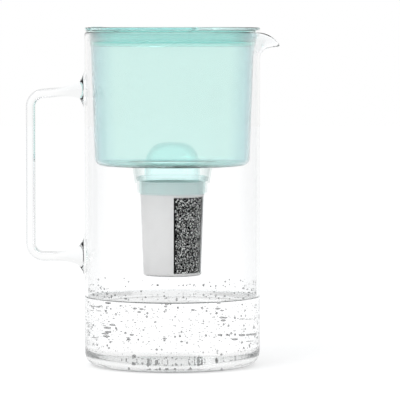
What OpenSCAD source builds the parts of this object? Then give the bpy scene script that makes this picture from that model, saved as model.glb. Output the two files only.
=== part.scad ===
// Water filter pitcher with a flip lid: glass jug, hopper, drop-in cartridge and lid.
// Millimetres, +Z up, +X towards the spout, origin at the middle of the jug's base.

/* [Jug] */
// Outer diameter of the glass jug
jug_d = 140; // [125:1:160]
// Height of the glass rim above the table
jug_h = 266; // [245:1:290]
// Thickness of the glass wall
glass_t = 2.5; // [2:0.1:3.5]
// Thickness of the glass floor
floor_t = 4; // [3:0.5:8]
// Outer radius of the corner between wall and floor
base_r = 11; // [7:0.5:16]

/* [Spout] */
// How far the tip of the lip stands out from the wall
spout_reach = 15.5; // [9:0.5:20]
// How far the tip hangs below the rim
spout_drop = 9; // [4:0.5:13]
// How far below the rim the wall starts to bend outwards
spout_depth = 24; // [20:1:32]
// Angle of the rim that the spout takes up
spout_angle = 68; // [50:2:80]

/* [Handle] */
// Thickness of the glass bow, seen from the side
grip_t = 7.6; // [6:0.2:11]
// Width of the glass bow, seen from behind
grip_w = 17; // [12:1:24]
// Distance from the jug's wall to the middle of the grip
grip_reach = 43; // [36:1:55]
// How far the middle of the upper root is below the rim
upper_root_drop = 46; // [34:1:66]
// Height of the middle of the lower root
lower_root_z = 87.5; // [60:0.5:110]
// How far the upper arm falls on its way out to the grip
arm_fall = 3.5; // [0:0.5:8]
// Bend radius at the middle of the bow's corners
bow_r = 10.5; // [8:0.5:16]
// Height of the root where the bow is fused on
root_t = 14; // [11:0.5:18]
// Width of the root where the bow is fused on
root_w = 20; // [14:1:26]
// How far the wall is drawn out to the upper root
upper_boss_h = 3.8; // [2:0.1:7]
// How far the wall is drawn out to the lower root
lower_boss_h = 5.6; // [2:0.1:8]
// Height of the drawn-out patch of wall
boss_size = 40; // [30:1:50]

/* [Hopper] */
// Gap between the hopper's collar and the glass
hopper_gap = 1.9; // [1.5:0.1:3]
// Depth from the glass rim to the underside of the hopper's floor
hopper_depth = 106; // [96:1:125]
// Thickness of the hopper's wall
hopper_wall = 2; // [1.6:0.1:2.6]
// How much narrower the hopper is at its floor, on the radius
hopper_taper = 3.2; // [1:0.2:6]
// Radius of the hopper's lower corner
hopper_corner = 6; // [4:0.5:10]
// Height of the thick collar under the flange
collar_h = 11; // [10:0.5:16]
// How far the collar stands proud of the wall
collar_step = 0.6; // [0.4:0.1:1.2]
// Thickness of the flange that lies on the glass rim
flange_t = 1.4; // [1:0.1:2.5]
// Number of lips on the ribbed seal
fin_count = 3; // [2:1:4]
// Distance from one lip of the seal to the next
fin_pitch = 2.4; // [1.8:0.1:2.6]
// Thickness of one lip of the seal
fin_t = 0.9; // [0.6:0.1:1.2]
// Angle left open at the spout, in seal and flange, for the water poured out
pour_notch = 30; // [20:1:44]

/* [Filter socket] */
// Outer diameter of the socket where it meets the hopper's floor
socket_d = 64.4; // [63:0.2:70]
// Outer diameter at the lower end of the socket's cone
socket_low_d = 59.8; // [58.6:0.2:62]
// Height of the socket's cone
socket_cone_h = 14; // [11:0.5:18]
// Outer diameter of the socket's neck
socket_neck_d = 56.2; // [55.6:0.2:57.4]
// Length of the neck below the cone
socket_neck_h = 7.5; // [5:0.5:12]
// Wall thickness of the socket
socket_wall = 1.6; // [1.2:0.1:2]

/* [Cartridge] */
// Diameter of the cartridge's body at its top
body_top_d = 51; // [48:0.5:51.5]
// Diameter of the cartridge's body at its foot
body_low_d = 46.2; // [42:0.2:48]
// Length of the cartridge's body below its cap
body_h = 65; // [50:1:72]
// Wall thickness of the cartridge's body
body_wall = 1.2; // [0.8:0.1:1.6]
// Diameter of the cap's dome
dome_d = 44.4; // [38:0.2:46]
// Height of the cap's dome
dome_h = 27; // [18:1:30]
// Wall thickness of the cap
cap_wall = 1.2; // [0.8:0.1:1.6]
// Number of inlet slits in the dome
slit_count = 3; // [2:1:8]
// Width of an inlet slit
slit_w = 1.2; // [0.8:0.1:2]
// Angle at which the first slit stands, from the spout
slit_angle = -56; // [-90:1:90]
// Angle at which the clear window starts, from the spout
window_from = -87; // [-90:1:-60]
// Angle that the clear window takes up
window_angle = 97; // [60:1:140]
// Diameter of one outlet hole
outlet_hole_d = 1.5; // [1:0.1:2]

/* [Lid] */
// Thickness of the lid's plate
lid_t = 2.6; // [2.4:0.1:4]
// Depth of the skirt that plugs into the hopper
skirt_h = 10; // [6:0.5:16]
// Thickness of the skirt
skirt_t = 1.6; // [1.2:0.1:2.2]
// Radius of the flap's round end, from the jug's axis
flap_r = 57; // [48:0.5:58]
// Width of the flap
flap_w = 80; // [60:1:88]
// Thickness of the flap
flap_t = 1.9; // [1.5:0.1:2.4]
// Distance of the hinge from the jug's axis, towards the spout
hinge_x = 14; // [4:1:24]
// Diameter of the hinge pin
pin_d = 2.4; // [2:0.1:2.6]
// Outer diameter of the hinge's barrel
barrel_d = 4.6; // [4.2:0.1:5.2]
// Length of the flap's share of the hinge
barrel_l = 58; // [40:1:60]
// Width of the thumb tab
tab_w = 24; // [16:1:34]
// Gap round the flap
flap_gap = 0.5; // [0.4:0.1:0.9]

/* [Hidden] */
$fn = 96;

// Colours, as the photograph shows them
GLASS = [0.93, 0.95, 0.96, 0.35];
MINT = [0.66, 0.87, 0.84];
PALE_MINT = [0.80, 0.93, 0.90, 0.6];
CLEAR = [0.90, 0.96, 0.95, 0.4];
WHITE = [0.92, 0.92, 0.91];
CARBON = [0.12, 0.12, 0.13];
FLEECE = [0.88, 0.88, 0.86];
STEEL = [0.75, 0.76, 0.77];

// Clearances: a soft lip to its wall, a sliding fit, a seat, a turning pin
lip_clear = 0.2;
slide_clear = 0.3;
seat_clear = 0.1;
pin_clear = 0.05;
// How far a cutting tool runs past what it cuts
past = 1;

// Jug
jug_r = jug_d / 2;
bore_r = jug_r - glass_t;
wall_mid_r = jug_r - glass_t / 2;
rim_mid_z = jug_h - glass_t / 2;

// Spout
spout_low_z = jug_h - spout_depth;
spout_columns = 28;
spout_rows = 8;
rim_steps = 8;
// The spout's flat facets stand this far proud of the round wall, to cover its curve
spout_proud = 0.1;
spout_half_t = glass_t / 2 + spout_proud;
// How far they lap over it, downwards and to each side
spout_lap = 1;
spout_lap_angle = 1;

// Handle
bow_sides = 16;
flare_length = 17;
bend_steps = 7;
grip_x = -(jug_r + grip_reach);
upper_root_z = jug_h - upper_root_drop;
upper_seam_x = -(jug_r + upper_boss_h);
lower_seam_x = -(jug_r + lower_boss_h);
boss_sides = 24;
boss_steps = 6;
boss_edge = 0.15;
boss_depth = 7;

// Hopper
flange_inset = 1;
notch_step = 0.4;
seal_drop = 0.6;
collar_r = bore_r - hopper_gap;
wall_top_r = collar_r - collar_step;
wall_low_r = wall_top_r - hopper_taper;
hopper_z = jug_h - hopper_depth;
hopper_floor_top = hopper_z + hopper_wall;
flange_z = jug_h + seat_clear;
flange_top = flange_z + flange_t;
flange_r = jug_r - flange_inset;
collar_z = jug_h - collar_h;
notch_r = collar_r + notch_step;
mouth_r = wall_top_r - hopper_wall;
seal_band = 1;
seal_groove = 0.7;
seal_edge = 0.9;
seal_top = jug_h - seal_drop;
seal_low = seal_top - (fin_count - 1) * fin_pitch - 2 * seal_edge;

// Filter socket
socket_rim_w = 3;
socket_rim_t = 1.2;
hole_r = socket_d / 2 + slide_clear;
cone_low_z = hopper_z - socket_cone_h;
ledge_z = cone_low_z + socket_wall;
neck_low_z = cone_low_z - socket_neck_h;
neck_bore_r = socket_neck_d / 2 - socket_wall;
cone_top_bore_r = socket_d / 2 - socket_wall;
cone_low_bore_r = socket_low_d / 2 - socket_wall;

// Cartridge
cap_proud = 1.3;
cap_edge_w = 1;
cap_chamfer = 0.6;
seal_h = 4;
seal_lip_drop = 1;
cap_skirt_r = neck_bore_r - slide_clear;
cap_low_z = neck_low_z - cap_proud;
deck_z = ledge_z + seat_clear;
cap_edge_r = cap_skirt_r + cap_edge_w;
dome_r = dome_d / 2;
dome_z = deck_z + seal_h;
dome_top = dome_z + dome_h;
dome_steps = 14;
dome_flat = 86;
body_step = 0.4;
body_lip = 1;
body_neck_r = min(cap_skirt_r - cap_wall, body_top_d / 2 - body_step);
body_low_z = cap_low_z - body_h;
body_floor_t = 1.2;
body_corner = 2;
window_drop = 1.2;
fleece_t = 1.2;
fleece_z = body_low_z + body_floor_t;
bed_z = fleece_z + fleece_t;
bed_top = cap_low_z - body_lip - fleece_t;
window_low = bed_z;
window_top = cap_low_z - window_drop;
bed_clear = 0.1;
screen_t = 0.4;
screen_gap = 0.8;
screen_r = dome_r - cap_wall - screen_gap;
screen_h = dome_h - cap_wall - screen_gap;
slit_foot = 1;
slit_stop = 10;
slit_low = dome_z + slit_foot;
slit_top = dome_top - slit_stop;
grille_r = 9;
grille_lip = 2;
grille_t = 0.7;
hole_pitch = 3.2;

// Lid
lid_z = flange_top;
lid_top = lid_z + lid_t;
lid_r = jug_r;
lid_round = 0.9;
skirt_r = mouth_r - slide_clear;
flap_z = lid_top - flap_t;
barrel_r = barrel_d / 2;
barrel_sink = 0.1;
hinge_z = lid_top - barrel_r - barrel_sink;
ledge_w = 3;
ledge_t = 1.6;
ledge_gap = 0.1;
ledge_top = flap_z - ledge_gap;
ledge_low = ledge_top - ledge_t;
lug_l = 6;
pin_l = barrel_l + 2 * lug_l;
swing_room = 1;
wing_back = 10;
tab_inset = 3.6;
tab_x = -(lid_r - tab_inset);
pad_l = 9;
pad_h = 0.4;
pad_edge = 2;
scoop_r = 9;
scoop_x = -(lid_r + 1);

// Points along an arc round a centre, both ends included
function arc(centre, r, from, to, steps) = [
    for (i = [0:steps])
        let (a = from + (to - from) * i / steps) centre + r * [cos(a), sin(a)]
];

function mix(a, b, t) = a + (b - a) * t;

function reversed(list) = [for (i = [len(list) - 1:-1:0]) list[i]];

function bezier(p, t) =
    pow(1 - t, 3) * p[0] + 3 * pow(1 - t, 2) * t * p[1] + 3 * (1 - t) * t * t * p[2] + pow(t, 3) * p[3];

function bezier_way(p, t) =
    3 * (pow(1 - t, 2) * (p[1] - p[0]) + 2 * (1 - t) * t * (p[2] - p[1]) + t * t * (p[3] - p[2]));

// Inner radius of the socket's cone at a height
function cone_bore(z) = mix(cone_low_bore_r, cone_top_bore_r, (z - cone_low_z) / socket_cone_h);

// Outer radius of the cartridge's body at a height
function body_r(z) = mix(body_low_d, body_top_d, (z - body_low_z) / body_h) / 2;

// A wedge of a ring about the axis, to cut with or to keep
module ring_sector(r_in, r_out, z_low, z_top, from, angle) {
    rotate([0, 0, from])
        rotate_extrude(angle = angle)
            translate([r_in, z_low]) square([r_out - r_in, z_top - z_low]);
}

// Joins rings of points, each with as many points, into one closed skin with flat ends
module skin(rings) {
    sides = len(rings[0]);
    last = len(rings) - 1;
    points = [for (ring = rings) each ring];
    walls = [
        for (i = [0:last - 1], j = [0:sides - 1])
            let (k = (j + 1) % sides, a = i * sides, b = a + sides)
                each [[a + j, b + j, b + k], [a + j, b + k, a + k]]
    ];
    cap = [
        for (j = [0:floor(sides / 2) - 1])
            let (k = sides - 1 - j)
                each concat([[j, j + 1, k]], j + 1 < k - 1 ? [[j + 1, k - 1, k]] : [])
    ];
    first_end = [for (t = cap) if (t[1] < t[2]) t];
    last_end = [for (t = first_end) [t[0], t[2], t[1]] + last * sides * [1, 1, 1]];
    polyhedron(points, concat(walls, first_end, last_end), convexity = 8);
}

// Glass jug: a straight cup whose rim is drawn out into a drooping spout
module cup_outline(r, low, corner) {
    translate([0, low]) square([r - corner, rim_mid_z - low]);
    translate([0, low + corner]) square([r, rim_mid_z - low - corner]);
    translate([r - corner, low + corner]) circle(r = corner);
}

module jug_section() {
    difference() {
        cup_outline(jug_r, 0, base_r);
        cup_outline(bore_r, floor_t, base_r - glass_t);
    }
    translate([wall_mid_r, rim_mid_z]) circle(d = glass_t);
}

// How much of the full reach the lip has at a share u of the spout's half angle
function lip_share(u) = pow((cos(180 * u) + 1) / 2, 2.2);

// Meridian of the spout's middle surface, as four control points [r, z]
function spout_curve(u) =
    let (
        s = lip_share(u),
        reach = spout_reach * s,
        top = rim_mid_z - spout_drop * pow(s, 2.6),
        rise = top - spout_low_z
    ) [
        [wall_mid_r, spout_low_z],
        [wall_mid_r, spout_low_z + rise * mix(0.6, 0.84, s)],
        [wall_mid_r + reach * 0.3, top - rise * mix(0.3, 0.05, s)],
        [wall_mid_r + reach, top],
    ];

// One cross-section of the spout's glass at the angle phi, from inside over the rim to outside
function spout_section(u, phi) =
    let (
        p = spout_curve(u),
        foot = [[p[0] - [0, spout_lap], [-spout_half_t, 0]]],
        rise = [
            for (j = [0:spout_rows])
                let (t = j / spout_rows, way = bezier_way(p, t), n = [-way[1], way[0]] / norm(way))
                    [bezier(p, t), n * spout_half_t]
        ],
        side = concat(foot, rise),
        end = rise[spout_rows],
        end_way = bezier_way(p, 1) / norm(bezier_way(p, 1)),
        flat = concat(
            [for (s = side) s[0] + s[1]],
            [
                for (k = [1:rim_steps - 1])
                    let (a = 180 * k / rim_steps) end[0] + end[1] * cos(a) + end_way * sin(a) * spout_half_t
            ],
            [for (s = reversed(side)) s[0] - s[1]]
        )
    ) [for (q = flat) [q[0] * cos(phi), q[0] * sin(phi), q[1]]];

module jug_glass() {
    half = spout_angle / 2;
    shares = [for (i = [0:spout_columns]) 2 * i / spout_columns - 1];
    color(GLASS) {
        difference() {
            rotate_extrude() jug_section();
            ring_sector(bore_r - past, jug_r + past, spout_low_z, jug_h + past, -half, spout_angle);
        }
        skin(concat(
            [spout_section(-1, -half - spout_lap_angle)],
            [for (u = shares) spout_section(u, u * half)],
            [spout_section(1, half + spout_lap_angle)]
        ));
    }
}

// Patch of wall drawn out to a root of the handle, ending in the flat seam
function boss_ring(s, height, z) = [
    for (j = [0:boss_sides - 1])
        let (
            a = 360 * j / boss_sides,
            y = mix(root_w, boss_size * 0.8, s) / 2 * cos(a),
            wall = sqrt(jug_r * jug_r - y * y) + boss_edge
        ) [-mix(jug_r + height, wall, 1 - pow(1 - s, 2.2)), y, z + mix(root_t, boss_size, s) / 2 * sin(a)]
];

module handle_boss(height, z) {
    rings = [for (i = [0:boss_steps]) boss_ring(i / boss_steps, height, z)];
    foot = [for (p = rings[boss_steps]) [boss_depth - jug_r, p[1], p[2]]];
    color(GLASS)
        difference() {
            skin(concat(rings, [foot]));
            cylinder(r = jug_r, h = jug_h, $fn = 240);
        }
}

module handle_boss_upper() {
    handle_boss(upper_boss_h, upper_root_z);
}

module handle_boss_lower() {
    handle_boss(lower_boss_h, lower_root_z);
}

// Glass bow: [position, way] stations in the XZ plane from the upper seam to the lower one
function unit(v) = v / norm(v);

// Points and ways round a corner at c, between the points before and after it
function bend(before, c, after, r) =
    let (
        d1 = unit(c - before),
        d2 = unit(after - c),
        turn = acos(d1 * d2),
        back = r * tan(turn / 2),
        start = c - d1 * back,
        side = [-d1[1], d1[0]],
        centre = start + side * r
    ) [
        for (i = [0:bend_steps])
            let (a = turn * i / bend_steps)
                [centre - side * r * cos(a) + d1 * r * sin(a), d1 * cos(a) + side * sin(a)]
    ];

bow_corners = [
    [upper_seam_x, upper_root_z],
    [grip_x, upper_root_z - arm_fall],
    [grip_x, lower_root_z],
    [lower_seam_x, lower_root_z],
];
flare_stations = [0, 0.15, 0.32, 0.5, 0.75, 1];

// Section thickness and width at a distance from a seam
function flare(d) = pow(max(0, 1 - d / flare_length), 2);
function bow_t(d) = mix(grip_t, root_t, flare(d));
function bow_width(d) = mix(grip_w, root_w, flare(d));

function bow_section(at, way, d) =
    let (across = [way[1], -way[0]]) [
        for (j = [0:bow_sides - 1])
            let (
                a = 360 * j / bow_sides,
                c = sign(cos(a)) * pow(abs(cos(a)), 0.75) * bow_t(d) / 2,
                y = sign(sin(a)) * pow(abs(sin(a)), 0.75) * bow_width(d) / 2
            ) [at[0] + across[0] * c, y, at[1] + across[1] * c]
    ];

// The arm's own sections lean over to stand square to the seam at its root
function arm_sections(seam, corner, seam_way, leaving) = [
    for (share = leaving ? flare_stations : [for (i = [5:-1:0]) flare_stations[i]])
        let (d = share * flare_length, way = unit(mix(seam_way, leaving ? corner - seam : seam - corner, share * 0.02)))
            bow_section(seam + unit(corner - seam) * d, share == 0 ? seam_way : way, d)
];

module handle_bow() {
    out_way = [-1, 0];
    in_way = [1, 0];
    bends = concat(
        bend(bow_corners[0], bow_corners[1], bow_corners[2], bow_r),
        bend(bow_corners[1], bow_corners[2], bow_corners[3], bow_r)
    );
    color(GLASS)
        skin(concat(
            arm_sections(bow_corners[0], bow_corners[1], out_way, true),
            [for (b = bends) bow_section(b[0], b[1], flare_length)],
            arm_sections(bow_corners[3], bow_corners[2], in_way, false)
        ));
}

// Hopper: tapered cup with a thick collar, a flange for the rim and a hole for the socket
module hopper_section() {
    outer = concat(
        [[hole_r, hopper_z]],
        arc([wall_low_r - hopper_corner, hopper_z + hopper_corner], hopper_corner, -90, 0, 8),
        [
            [wall_top_r, collar_z],
            [collar_r, collar_z],
            [collar_r, seal_low],
            [collar_r - seal_groove, seal_low],
            [collar_r - seal_groove, seal_top],
            [collar_r, seal_top],
            [collar_r, flange_z],
            [flange_r, flange_z],
            [flange_r, flange_top],
            [mouth_r, flange_top],
            [mouth_r, collar_z],
        ]
    );
    inner_corner = hopper_corner - hopper_wall;
    inner = concat(
        arc([wall_low_r - hopper_corner, hopper_z + hopper_corner], inner_corner, 0, -90, 8),
        [[hole_r, hopper_floor_top]]
    );
    polygon(concat(outer, inner));
}

module hopper() {
    color(MINT)
        difference() {
            rotate_extrude() hopper_section();
            ring_sector(notch_r, jug_r + past, flange_z - past, flange_top + past, -pour_notch / 2, pour_notch);
        }
}

// Ribbed seal in the collar's groove, open at the spout
module seal_section() {
    band_in = collar_r - seal_groove;
    fin_r = bore_r - lip_clear;
    translate([band_in, seal_low]) square([seal_band, seal_top - seal_low]);
    for (i = [0:fin_count - 1])
        translate([band_in, seal_top - seal_edge - i * fin_pitch - fin_t / 2])
            square([fin_r - band_in, fin_t]);
}

module hopper_seal() {
    color(CLEAR)
        rotate([0, 0, pour_notch / 2])
            rotate_extrude(angle = 360 - pour_notch) seal_section();
}

// Socket under the hopper: rim on the floor, cone, inner ledge and neck
module filter_socket() {
    rim_top = hopper_floor_top + socket_rim_t;
    rim_r = hole_r + socket_rim_w;
    color(PALE_MINT)
        rotate_extrude()
            polygon([
                [cone_top_bore_r, rim_top],
                [rim_r, rim_top],
                [rim_r, hopper_floor_top],
                [socket_d / 2, hopper_floor_top],
                [socket_d / 2, hopper_z],
                [socket_low_d / 2, cone_low_z],
                [socket_neck_d / 2, cone_low_z],
                [socket_neck_d / 2, neck_low_z],
                [neck_bore_r, neck_low_z],
                [neck_bore_r, ledge_z],
                [cone_bore(ledge_z), ledge_z],
                [cone_top_bore_r, hopper_z],
            ]);
}

// One point of a squarish dome over its foot, at an angle up from it
function dome_point(r, z, h, a) = [r * pow(cos(a), 2 / 3), z + h * pow(sin(a), 2 / 3)];

// Points up a dome from its foot to its flat middle
function dome_points(r, z, h) = concat(
    [for (i = [0:dome_steps]) dome_point(r, z, h, dome_flat * i / dome_steps)],
    [[0, dome_point(r, z, h, dome_flat)[1]]]
);

// Cap of the cartridge: skirt over the body, deck and slit dome
module cap_section() {
    outer = concat(
        [
            [body_neck_r, cap_low_z],
            [cap_skirt_r, cap_low_z],
            [cap_skirt_r, deck_z],
            [cap_edge_r, deck_z],
            [cap_edge_r, dome_z - cap_chamfer],
            [cap_edge_r - cap_chamfer, dome_z],
        ],
        dome_points(dome_r, dome_z, dome_h)
    );
    inner = concat(
        reversed(dome_points(dome_r - cap_wall, dome_z, dome_h - cap_wall)),
        [[dome_r - cap_wall, deck_z], [body_neck_r, deck_z]]
    );
    polygon(concat(outer, inner));
}

module cartridge_cap() {
    color(MINT)
        difference() {
            rotate_extrude() cap_section();
            for (i = [0:slit_count - 1])
                rotate([0, 0, slit_angle + 360 * i / slit_count])
                    translate([dome_r / 2, -slit_w / 2, slit_low])
                        cube([dome_r, slit_w, slit_top - slit_low]);
        }
}

// Soft lip round the deck, against the socket's cone
module cartridge_seal() {
    lip_z = dome_z - seal_lip_drop;
    color(PALE_MINT)
        rotate_extrude()
            polygon([
                [cap_edge_r, deck_z],
                [cone_bore(deck_z) - lip_clear, deck_z],
                [cone_bore(lip_z) - lip_clear, lip_z],
                [cap_edge_r, dome_z - cap_chamfer],
            ]);
}

// Body of the cartridge, with its quarter window cut out
module body_shell() {
    low_r = body_r(body_low_z + body_corner);
    rotate_extrude()
        polygon(concat(
            [[grille_r, body_low_z]],
            arc([low_r - body_corner, body_low_z + body_corner], body_corner, -90, 0, 5),
            [
                [body_r(cap_low_z), cap_low_z],
                [body_neck_r, cap_low_z],
                [body_neck_r, deck_z - screen_t],
                [body_neck_r - body_wall, deck_z - screen_t],
                [body_r(cap_low_z) - body_wall, cap_low_z - body_lip],
                [body_r(fleece_z) - body_wall, fleece_z],
                [grille_r + grille_lip, fleece_z],
                [grille_r + grille_lip, fleece_z - grille_t],
                [grille_r, fleece_z - grille_t],
            ]
        ));
}

module window_sector() {
    ring_sector(body_low_d / 4, body_top_d, window_low, window_top, window_from, window_angle);
}

module cartridge_body() {
    color(WHITE)
        difference() {
            body_shell();
            window_sector();
        }
}

module media_window() {
    color(CLEAR)
        intersection() {
            body_shell();
            window_sector();
        }
}

// A round filling of the body between two heights
module body_filling(low, top) {
    rotate_extrude()
        polygon([
            [0, low],
            [body_r(low) - body_wall - bed_clear, low],
            [body_r(top) - body_wall - bed_clear, top],
            [0, top],
        ]);
}

module media_bed() {
    color(CARBON) body_filling(bed_z, bed_top);
}

module upper_fleece() {
    color(FLEECE) body_filling(bed_top, bed_top + fleece_t);
}

module lower_fleece() {
    color(FLEECE) body_filling(fleece_z, bed_z);
}

// Mesh dome inside the cap, its brim clamped between cap and body
module inlet_screen() {
    inner_r = screen_r - screen_t;
    color(FLEECE)
        rotate_extrude()
            polygon(concat(
                reversed(dome_points(screen_r, dome_z, screen_h)),
                [
                    [screen_r, deck_z],
                    [body_neck_r, deck_z],
                    [body_neck_r, deck_z - screen_t],
                    [inner_r, deck_z - screen_t],
                ],
                dome_points(inner_r, dome_z, screen_h - screen_t)
            ));
}

// Perforated disc in the body's floor
module outlet_grille() {
    color(WHITE)
        difference() {
            union() {
                translate([0, 0, body_low_z]) cylinder(r = grille_r, h = body_floor_t);
                translate([0, 0, fleece_z - grille_t]) cylinder(r = grille_r + grille_lip, h = grille_t);
            }
            for (ring = [0:2], i = [0:max(0, 6 * ring - 1)])
                rotate([0, 0, ring == 0 ? 0 : 60 * i / ring])
                    translate([ring * hole_pitch, 0, body_low_z - past])
                        cylinder(d = outlet_hole_d, h = body_floor_t + 2 * past, $fn = 24);
        }
}

// Outline of the flap without its hinge barrel, grown by a margin
module flap_outline(grow) {
    plate_end = hinge_x - wing_back + grow;
    intersection() {
        circle(r = flap_r + grow);
        translate([-lid_r, -flap_w / 2 - grow]) square([lid_r + plate_end, flap_w + 2 * grow]);
    }
    translate([hinge_x - 2 * wing_back, -barrel_l / 2 - grow]) square([2 * wing_back, barrel_l + 2 * grow]);
    translate([tab_x - grow, -tab_w / 2 - grow]) square([flap_r, tab_w + 2 * grow]);
}

// Lid: plate, skirt, ledge under the flap and two lugs for the pin
module lid_frame() {
    opening_r = flap_r - ledge_w;
    opening_end = hinge_x - wing_back - ledge_w;
    slot_end = hinge_x + barrel_r + swing_room;
    color(MINT)
        difference() {
            union() {
                rotate_extrude()
                    polygon(concat(
                        [[0, lid_z], [lid_r - lid_round, lid_z]],
                        arc([lid_r - lid_round, lid_z + lid_round], lid_round, -90, 0, 4),
                        arc([lid_r - lid_round, lid_top - lid_round], lid_round, 0, 90, 4),
                        [[0, lid_top]]
                    ));
                difference() {
                    translate([0, 0, lid_z - skirt_h]) cylinder(r = skirt_r, h = skirt_h);
                    translate([0, 0, lid_z - skirt_h - past]) cylinder(r = skirt_r - skirt_t, h = skirt_h + past);
                }
                intersection() {
                    translate([0, 0, ledge_low]) cylinder(r = skirt_r - skirt_t / 2, h = lid_z - ledge_low);
                    translate([-lid_r, -flap_w / 2 - ledge_w, ledge_low])
                        cube([lid_r + hinge_x + barrel_d, flap_w + 2 * ledge_w, lid_z - ledge_low]);
                }
                for (side = [-1, 1])
                    translate([hinge_x - barrel_d, side * (barrel_l + lug_l + 2 * flap_gap) / 2 - lug_l / 2, hinge_z - barrel_r])
                        cube([2 * barrel_d, lug_l, flap_z - hinge_z + barrel_r]);
            }
            translate([0, 0, ledge_top]) linear_extrude(lid_t + past) flap_outline(flap_gap);
            translate([opening_end - past, -barrel_l / 2 - flap_gap, hinge_z - barrel_d])
                cube([slot_end - opening_end + past, barrel_l + 2 * flap_gap, barrel_d + lid_t]);
            translate([0, 0, lid_z - skirt_h])
                linear_extrude(lid_t + skirt_h)
                    intersection() {
                        circle(r = opening_r);
                        translate([-lid_r, -flap_w / 2 + ledge_w])
                            square([lid_r + opening_end, flap_w - 2 * ledge_w]);
                    }
            translate([scoop_x, 0, lid_z - past]) cylinder(r = scoop_r, h = lid_t + 2 * past);
            translate([hinge_x, 0, hinge_z])
                rotate([90, 0, 0]) cylinder(d = pin_d, h = pin_l, center = true);
        }
}

// Flap: plate with its barrel and a raised pad on the thumb tab
module lid_flap() {
    color(MINT)
        difference() {
            union() {
                translate([0, 0, flap_z]) linear_extrude(flap_t) flap_outline(0);
                translate([hinge_x, 0, hinge_z])
                    rotate([90, 0, 0]) cylinder(d = barrel_d, h = barrel_l, center = true);
                translate([tab_x + pad_edge, -tab_w / 2 + pad_edge, flap_z])
                    cube([pad_l, tab_w - 2 * pad_edge, flap_t + pad_h]);
            }
            translate([hinge_x, 0, hinge_z])
                rotate([90, 0, 0]) cylinder(r = pin_d / 2 + pin_clear, h = barrel_l + 2 * past, center = true);
        }
}

module hinge_pin() {
    color(STEEL)
        translate([hinge_x, 0, hinge_z])
            rotate([90, 0, 0]) cylinder(d = pin_d, h = pin_l, center = true);
}

jug_glass();
handle_boss_upper();
handle_boss_lower();
handle_bow();
hopper();
hopper_seal();
filter_socket();
cartridge_cap();
cartridge_seal();
cartridge_body();
media_window();
media_bed();
upper_fleece();
lower_fleece();
inlet_screen();
outlet_grille();
lid_frame();
lid_flap();
hinge_pin();
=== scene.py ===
"""Looks of the water filter pitcher: glass jug, mint hopper and lid, and the drop-in cartridge."""

import math
import random

import bmesh
import bpy
from mathutils import Euler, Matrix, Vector


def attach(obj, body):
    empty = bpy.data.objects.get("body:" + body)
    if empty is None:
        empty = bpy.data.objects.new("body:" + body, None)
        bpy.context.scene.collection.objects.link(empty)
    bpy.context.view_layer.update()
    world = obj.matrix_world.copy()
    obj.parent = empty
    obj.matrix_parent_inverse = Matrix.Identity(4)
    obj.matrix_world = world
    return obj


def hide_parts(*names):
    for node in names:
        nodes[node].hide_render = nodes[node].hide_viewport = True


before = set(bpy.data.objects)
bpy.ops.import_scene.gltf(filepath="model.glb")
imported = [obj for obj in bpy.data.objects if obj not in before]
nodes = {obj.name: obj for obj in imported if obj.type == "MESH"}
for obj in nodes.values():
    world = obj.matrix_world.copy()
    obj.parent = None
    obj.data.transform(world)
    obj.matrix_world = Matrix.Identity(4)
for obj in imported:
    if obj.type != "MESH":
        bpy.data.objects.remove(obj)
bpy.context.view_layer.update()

MM = 0.001

# Jug, in metres as the solids have it
JUG_R = 70 * MM
JUG_H = 266 * MM
GLASS_T = 2.5 * MM
FLOOR_T = 4 * MM
BASE_R = 11 * MM
PUNT_R = 50 * MM
PUNT_H = 0.9 * MM
PUNT_FLAT_R = PUNT_R * 0.6
PUNT_EDGE_H = PUNT_H * 0.8
FOOT_R = PUNT_R + 3 * MM
BORE_R = JUG_R - GLASS_T
WALL_MID = JUG_R - GLASS_T / 2
RIM_MID = JUG_H - GLASS_T / 2

# Columns round the jug: over the spout, on each side, and over the handle's roots, which lie
# between two angles in degrees
SPOUT_COLUMNS = 68
SIDE_COLUMNS = 52
ROOT_COLUMNS = 64
ROOTS_FROM = 164
ROOTS_TO = 196

# Rows of the jug: up its wall, down its bore, round its corners, up its lip and over its rim
WALL_ROWS = 150
BORE_ROWS = 12
CORNER_ROWS = 12
LIP_ROWS = 16
RIM_ROWS = 10

# Spout. The powers say how sharply its reach and its drop gather at its middle. Each pull is
# where a control point of its curve stands, as a share of the rise, beside the spout and in it.
SPOUT_REACH = 15.5 * MM
SPOUT_DROP = 9 * MM
SPOUT_LOW = JUG_H - 24 * MM
SPOUT_HALF = math.radians(34)
REACH_POWER = 2.2
DROP_POWER = 2.6
LOW_PULL = (0.6, 0.84)
TOP_PULL = (0.3, 0.05)
TOP_PULL_OUT = 0.3

# Handle
GRIP_T = 7.6 * MM
GRIP_W = 17 * MM
GRIP_X = -(JUG_R + 43 * MM)
BOW_R = 10.5 * MM
ARM_FALL = 3.5 * MM
ROOT_T = 14 * MM
ROOT_W = 20 * MM
FLARE = 17 * MM
ROOT_DEPTH = 1.6 * MM
BOSS_SIZE = 40 * MM
BOSS_W = BOSS_SIZE * 0.8
ROOTS = (
    {"z": 220 * MM, "height": 3.8 * MM},
    {"z": 87.5 * MM, "height": 5.6 * MM},
)
BOSS_POWER = 2.2
BOSS_EDGE = 0.995
BOSS_SIDE_X = -JUG_R * 0.9
BOSS_HALVINGS = 24
GRIP_SQUARE = 0.75
ARM_TURN = 3
BOW_SIDES = 48
BOW_RINGS = 20
OUTWARD = Vector((-1.0, 0.0))

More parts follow.
